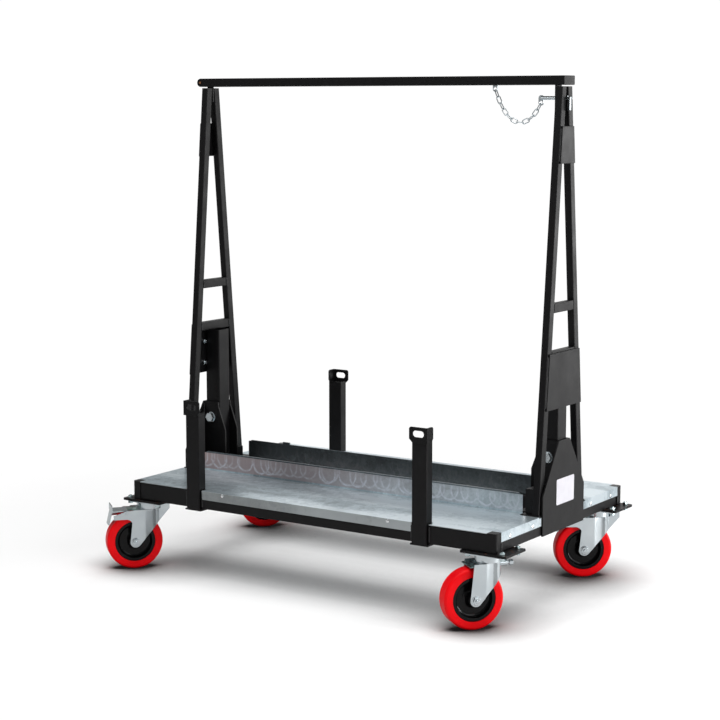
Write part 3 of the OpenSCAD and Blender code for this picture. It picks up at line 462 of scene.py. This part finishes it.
# plates, pressings and bolts get softened edges on a copy of the solid
softEdges = {"end_plates": 0.0012, "cheeks": 0.0012, "side_plates": 0.0012, "gusset_plates": 0.0012,
             "cross_rails": 0.0022, "base_plates": 0.0008, "mount_plates": 0.0014,
             "castor_top_plates": 0.0010, "apex_plate": 0.0010, "bar_hangers": 0.0009, "top_bar": 0.0024,
             "pivot_bolts": 0.0008, "castor_bolts": 0.0006, "post_sockets": 0.0010,
             "front_upstand": 0.0007, "rear_upstand": 0.0007, "chain_tab": 0.0005}
for k in castorAxis:
    softEdges["fork_" + k] = 0.0011
    softEdges["handle_" + k] = 0.0012
    softEdges["axle_" + k] = 0.0008
    softEdges["hub_" + k] = 0.0016
for name in ("brake_pedal_fl", "brake_pedal_rr", "swivel_lock_fr", "swivel_lock_rl"):
    softEdges[name] = 0.0007


def mergedCopy(name, newName):
    twin = nodeOf[name].copy()
    twin.data = nodeOf[name].data.copy()
    twin.name = newName
    twin.parent = None
    bpy.context.scene.collection.objects.link(twin)
    pickOnly(twin)
    if twin.data.has_custom_normals:
        bpy.ops.mesh.customdata_custom_splitnormals_clear()
    editAll(twin)
    bpy.ops.mesh.remove_doubles(threshold=0.00002)
    bpy.ops.mesh.dissolve_limited(angle_limit=math.radians(0.5))
    leaveEdit()
    return twin


def softened(name, width):
    twin = mergedCopy(name, name + "Finished")
    bevelEdges(twin, width)
    smoothShade(twin)
    evenShade(twin)
    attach(twin, bodyOf[name])
    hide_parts(name)


for name, width in softEdges.items():
    softened(name, width)
print("edges softened on", len(softEdges), "pieces")


def stamp(obj, name, place, normal=(0, 0, 1), spin=0.0):  # own copy of a master, Z turned to the normal
    turn = Vector(normal).to_track_quat("Z", "Y").to_matrix().to_4x4()
    move = Matrix.Translation(Vector(place)) @ turn @ Matrix.Rotation(spin, 4, "Z")
    twin = obj.copy()
    twin.data = obj.data.copy()
    twin.name = name
    bpy.context.scene.collection.objects.link(twin)
    twin.data.transform(move)
    return twin


def dropMaster(obj):
    mesh = obj.data
    bpy.data.objects.remove(obj, do_unlink=True)
    bpy.data.meshes.remove(mesh)


def dress(obj, body, material):
    obj.data.materials.clear()
    obj.data.materials.append(material)
    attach(obj, body)


# pop rivets on the deck flanges
popRivet = {"head": 0.0052, "rise": 0.0010, "dome": 0.0007, "step": 0.0014, "flatter": (1.0, 0.6, 0.3),
            "sideX": 0.272, "sideY": 0.358, "sideZ": 0.247,
            "endX": 0.595, "endY": (0.286, 0.165), "endZ": 0.2355}


def makeRivet():
    rivet = addRound(popRivet["head"], 0, popRivet["rise"], 24)
    pickFaces(rivet, lambda c, n: n.z > 0.9)
    for flatter in popRivet["flatter"]:  # three rings make the low dome
        bpy.ops.mesh.inset(thickness=popRivet["step"])
        bpy.ops.transform.translate(value=(0, 0, popRivet["dome"] * flatter))
    leaveEdit()
    smoothShade(rivet, 50)
    return rivet


rivetMaster = makeRivet()
rivets = []
for sy in (-1, 1):
    for sx in (-1, 1):
        place = (sx * popRivet["sideX"], sy * popRivet["sideY"], popRivet["sideZ"])
        rivets.append(stamp(rivetMaster, "rivet", place, (0, sy, 0)))
    for sx in (-1, 1):
        for y in popRivet["endY"]:
            place = (sx * popRivet["endX"], sy * y, popRivet["endZ"])
            rivets.append(stamp(rivetMaster, "rivet", place, (sx, 0, 0)))
dropMaster(rivetMaster)
dress(joinAll(rivets, "deckRivets"), "frame", rivetZinc)
print("rivets placed")

# blank sticker on the right end plate
stickerShape = {"middle": (0.598, 0.007, 0.3035), "size": (0.0008, 0.099, 0.069), "corner": 0.004,
                "edge": 0.00015}
label = addBlock(stickerShape["middle"], stickerShape["size"])
label.name = "blankLabel"
pickEdges(label, lambda a, b: abs(a.x - b.x) > stickerShape["size"][0] / 2)
bpy.ops.mesh.bevel(offset=stickerShape["corner"], segments=5, affect="EDGES")
leaveEdit()
bevelEdges(label, stickerShape["edge"], 1, 60)
smoothShade(label)
dress(label, "frame", sticker)
print("sticker placed")

# small nuts on the inner face of the large side plates
plateNut = {"across": 0.0075, "deep": 0.006, "edge": 0.0007, "bolt": 0.004, "reach": 0.010, "crown": 0.0006,
            "x": 0.590, "y": -0.034, "z": (0.620, 0.557), "spin": 0.3}


def makeNut():
    nut = addRound(plateNut["across"], 0, plateNut["deep"], 6)
    bevelEdges(nut, plateNut["edge"], 2, 40)
    bolt = addRound(plateNut["bolt"], 0, plateNut["reach"], 20)
    crownTop(bolt, plateNut["crown"], plateNut["crown"])
    smoothShade(bolt, 30)
    return joinAll([nut, bolt], "nutMaster")


nutMaster = makeNut()
nuts = []
for sx in (-1, 1):
    for z in plateNut["z"]:
        place = (sx * plateNut["x"], plateNut["y"], z)
        nuts.append(stamp(nutMaster, "plateNut", place, (-sx, 0, 0), plateNut["spin"]))
dropMaster(nutMaster)
dress(joinAll(nuts, "plateNuts"), "frame", zinc)
print("plate nuts placed")

# thin guard plates on the castor crowns, above the tyre
guardPlate = {"braked": {"from": 0.0355, "to": 0.0610, "half": 0.0240, "low": 0.1695, "high": 0.1722},
              "plain": {"from": 0.0350, "to": 0.0560, "half": 0.0326, "low": 0.1655, "high": 0.1682},
              "lip": (0.003, 0, -0.0012), "edge": 0.0006}


def makeGuard(k):
    kind = guardPlate["braked" if k in brakedCastors else "plain"]
    x, y, turn = castorAxis[k]
    middle = ((kind["from"] + kind["to"]) / 2, 0, (kind["low"] + kind["high"]) / 2)
    guard = addBlock(middle, (kind["to"] - kind["from"], kind["half"] * 2, kind["high"] - kind["low"]))
    pickFaces(guard, lambda c, n: n.x > 0.9)  # turned down lip at the free end
    bpy.ops.mesh.extrude_region_move(TRANSFORM_OT_translate={"value": guardPlate["lip"]})
    leaveEdit()
    bevelEdges(guard, guardPlate["edge"], 2, 20)
    smoothShade(guard)
    guard.data.transform(Matrix.Translation((x, y, 0)) @ Matrix.Rotation(math.radians(turn), 4, "Z"))
    guard.name = "castorGuard" + k.upper()
    return guard


for k in castorAxis:
    dress(makeGuard(k), "castor_" + k, greenZinc if k in brakedCastors else darkGreen)
print("castor guards placed")

# washers and bolt ends standing out of the axle nuts
axleEnd = {"trail": 0.044, "height": 0.080, "face": 0.0430, "nut": 0.0360, "bolt": 0.0050, "out": 0.0028,
           "inset": 0.0009, "crown": 0.0008, "washer": 0.0128, "thick": 0.0012, "edge": 0.0004}


def makeAxleEnd():
    stud = addRound(axleEnd["bolt"], axleEnd["face"], axleEnd["out"], 28)
    crownTop(stud, axleEnd["inset"], axleEnd["crown"])
    smoothShade(stud, 30)
    washer = addRound(axleEnd["washer"], axleEnd["nut"], axleEnd["thick"], 40)
    bevelEdges(washer, axleEnd["edge"], 2, 40)
    smoothShade(washer, 40)
    return joinAll([stud, washer], "axleEndMaster")


axleMaster = makeAxleEnd()
for k in castorAxis:
    ax, ay = castorAxis[k][:2]
    c, d = trailOf(k)
    middle = (ax + c * axleEnd["trail"], ay + d * axleEnd["trail"], axleEnd["height"])
    ends = [stamp(axleMaster, "axleEnd", middle, (-d * m, c * m, 0)) for m in (-1, 1)]
    dress(joinAll(ends, "axleEnds" + k.upper()), "castor_" + k, zinc)
dropMaster(axleMaster)
print("axle ends placed")

# weld beads along the seams, each a rippled strand half sunk in the corner
bead = {"radius": 0.0024, "ripple": 0.00045, "step": 0.0042, "uneven": 0.05, "endShare": 0.35}


def layBead(a, b):
    a = Vector(a)
    b = Vector(b)
    along = b - a
    half = along.length / 2
    strand = addRound(bead["radius"], -half, along.length, 9, "TRIFAN")
    pickEdges(strand, lambda p, q: abs(p.z - q.z) > along.length * 0.9)
    bpy.ops.mesh.subdivide(number_cuts=max(4, int(along.length / (bead["step"] / 3))))
    leaveEdit()
    for v in strand.data.vertices:
        wave = math.sin((v.co.z + half) / bead["step"] * 2 * math.pi)
        taper = min(1.0, (half - abs(v.co.z)) / bead["radius"] + bead["endShare"])
        uneven = rng.uniform(-bead["uneven"], bead["uneven"])
        grow = (1 + wave * bead["ripple"] / bead["radius"] + uneven) * taper
        v.co.x *= grow
        v.co.y *= grow
    turn = along.to_track_quat("Z", "Y").to_matrix().to_4x4()
    strand.data.transform(Matrix.Translation((a + b) / 2) @ turn)
    smoothShade(strand, 60)
    return strand


legLean = {"top": 1.364, "half": 0.0284, "slope": 0.0883, "across": 0.0251}
weldAt = {"cheekX": 0.593, "cheekY": 0.0315, "cheekZ": (0.262, 0.432),
          "footX": (0.517, 0.545), "footZ": 0.2555,
          "channelX": 0.546, "channelFrom": 0.036, "channelTo": {-1: 0.092, 1: 0.113},
          "plateX": 0.590, "plateIn": 0.0048, "plateZ": [(1.172, 1.256), (0.534, 0.668)],
          "crossX": 0.570, "crossZ": [(0.657, 0.678), (0.782, 0.803)],
          "socketX": (0.3438, 0.3982), "socketY": 0.356, "socketZ": (0.206, 0.246),
          "cornerX": 0.595, "cornerY": 0.331, "cornerZ": (0.205, 0.226)}


def leanOut(z):
    return legLean["half"] + legLean["slope"] * (legLean["top"] - z)


def leanIn(z):
    return leanOut(z) - legLean["across"]


def cornerSeams(sx, sy):  # the seams of one quarter of the cart
    cheekY = sy * weldAt["cheekY"]
    footZ = weldAt["footZ"]
    channelX = sx * weldAt["channelX"]
    runs = [[(sx * weldAt["cheekX"], cheekY, z) for z in weldAt["cheekZ"]],
            [(sx * x, cheekY, footZ) for x in weldAt["footX"]],
            [(channelX, sy * y, footZ) for y in (weldAt["channelFrom"], weldAt["channelTo"][sx])]]
    for ends in weldAt["plateZ"]:
        runs.append([(sx * weldAt["plateX"], sy * (leanOut(z) - weldAt["plateIn"]), z) for z in ends])
    for ends in weldAt["crossZ"]:
        runs.append([(sx * weldAt["crossX"], sy * leanIn(z), z) for z in ends])
    for x in weldAt["socketX"]:
        runs.append([(sx * x, sy * weldAt["socketY"], z) for z in weldAt["socketZ"]])
    runs.append([(sx * weldAt["cornerX"], sy * weldAt["cornerY"], z) for z in weldAt["cornerZ"]])
    return runs


welds = []
for sx in (-1, 1):
    for sy in (-1, 1):
        welds.extend([layBead(a, b) for a, b in cornerSeams(sx, sy)])
print("welds laid", len(welds))
dress(joinAll(welds, "weldBeads"), "frame", weldPaint)

# the chain hangs between the bar and the pin
chainCopy = mergedCopy("chain", "chainFinished")
smoothShade(chainCopy, 60)
chainCopy.data.materials.clear()
chainCopy.data.materials.append(zinc)
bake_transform(chainCopy)
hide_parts("chain")
print("chain hung")

# camera at the viewing angle of the photograph
cameraSetup = {"place": (2.7955, -4.2608, 1.3216), "turn": (82.0, 0.0, 33.77), "lens": 91.5, "sensor": 36.0}
camData = bpy.data.cameras.new("mainCamera")
camData.lens = cameraSetup["lens"]
camData.sensor_width = cameraSetup["sensor"]
camObj = bpy.data.objects.new("mainCamera", camData)
camObj.location = cameraSetup["place"]
camObj.rotation_euler = [math.radians(a) for a in cameraSetup["turn"]]
bpy.context.scene.collection.objects.link(camObj)
bpy.context.scene.camera = camObj

# pale floor that runs into a white surround, and soft lights
studio = {"floor": (0.88, 0.90), "wide": 60, "white": 1.02, "surround": 0.22,
          "glow": 0.14, "fade": (0.95, 1.9),
          "shadowReach": 0.26, "shadowFrom": 0.50, "shadowTo": 0.93, "shadowTone": 0.03, "mirrorShare": 0.36,
          "lamps": [("overhead", (0.2, -0.6, 4.2), (0, 0, 0.3), 4.5, 215.0),
                    ("rightSide", (4.4, -0.6, 2.2), (0, 0, 0.7), 2.6, 50.0),
                    ("rightRear", (2.9, 4.3, 1.1), (0.4, 0, 0.7), 2.2, 62.0),
                    ("rearLeft", (-2.2, 4.5, 1.35), (0, 0, 0.3), 3.2, 26.0),
                    ("lowStrip", (1.95, 0.28, 0.26), (0.5, -0.1, 0.10), (0.16, 0.5), 10.0),
                    ("frontFill", (-2.2, -4.5, 2.6), (0, 0, 0.6), 2.6, 10.0)]}
bpy.ops.object.select_all(action="DESELECT")
bpy.ops.mesh.primitive_plane_add(size=studio["wide"], location=(0, 0, 0))
floor = bpy.context.object
floor.name = "studioFloor"
settle(floor)
paper = Finish("studioPaper")
floorOcclusion = paper.tree.nodes.new("ShaderNodeAmbientOcclusion")  # painted contact shadow: ambient occlusion darkens the floor colour where the wheels and cart stand
floorOcclusion.inputs["Distance"].default_value = studio["shadowReach"]
floorOcclusion.samples = 16
contactShadow = paper.ramp(floorOcclusion.outputs["AO"], [(studio["shadowFrom"], (studio["shadowTone"],) * 3),
                                        (studio["shadowTo"], (1.0, 1.0, 1.0))])
pale = paper.ramp(paper.noise(1.5, 2), [(0.3, (studio["floor"][0],) * 3), (0.7, (studio["floor"][1],) * 3)])
paper.put("Base Color", paper.mix(1.0, pale, contactShadow, "MULTIPLY"))
paper.put("Roughness", 0.9)
paper.put("Specular IOR Level", 0.1)
glow = paper.tree.nodes.new("ShaderNodeEmission")  # seen by the camera only, keeps the paper white
glow.inputs["Strength"].default_value = studio["white"]
rays = paper.tree.nodes.new("ShaderNodeLightPath")
px, py, pz = paper.xyz()
whiter = paper.span(paper.length(px, py), *studio["fade"], studio["glow"], 1.0)
share = paper.times(rays.outputs["Is Camera Ray"], whiter)
# the camera-only glow carries the same painted contact shadow
paper.link(contactShadow, glow.inputs["Color"])
blendNode = paper.tree.nodes.new("ShaderNodeMixShader")
paper.link(share, blendNode.inputs[0])
dim = paper.tree.nodes.new("ShaderNodeMixShader")  # less floor in the reflections of bright metal
paper.link(paper.times(rays.outputs["Is Glossy Ray"], studio["mirrorShare"]), dim.inputs[0])
paper.link(paper.shader.outputs[0], dim.inputs[1])
paper.link(dim.outputs[0], blendNode.inputs[1])
paper.link(glow.outputs[0], blendNode.inputs[2])
paper.link(blendNode.outputs[0], paper.tree.nodes["Material Output"].inputs["Surface"])
floor.data.materials.append(paper.mat)
world = bpy.data.worlds.new("studioWorld")
bpy.context.scene.world = world
world.use_nodes = True
skyTree = world.node_tree
skyRays = skyTree.nodes.new("ShaderNodeLightPath")
skyLevel = skyTree.nodes.new("ShaderNodeMapRange")  # white to the camera, dimmer as a light source
skyLevel.inputs["To Min"].default_value = studio["surround"]
skyLevel.inputs["To Max"].default_value = studio["white"]
skyTree.links.new(skyRays.outputs["Is Camera Ray"], skyLevel.inputs["Value"])
skyTree.nodes["Background"].inputs["Color"].default_value = (1, 1, 1, 1)
skyTree.links.new(skyLevel.outputs["Result"], skyTree.nodes["Background"].inputs["Strength"])
for lampName, place, aim, size, power in studio["lamps"]:
    lamp = bpy.data.lights.new(lampName, "AREA")
    lamp.shape = "RECTANGLE"
    lamp.size, lamp.size_y = size if isinstance(size, tuple) else (size, size)
    lamp.energy = power
    lampObj = bpy.data.objects.new(lampName, lamp)
    lampObj.location = place
    lampObj.rotation_euler = (Vector(aim) - Vector(place)).to_track_quat("-Z", "Y").to_euler()
    lampObj.visible_camera = False
    bpy.context.scene.collection.objects.link(lampObj)
bpy.context.scene.view_settings.view_transform = "Standard"
bpy.context.scene.view_settings.look = "None"
print("camera, floor and lights set")
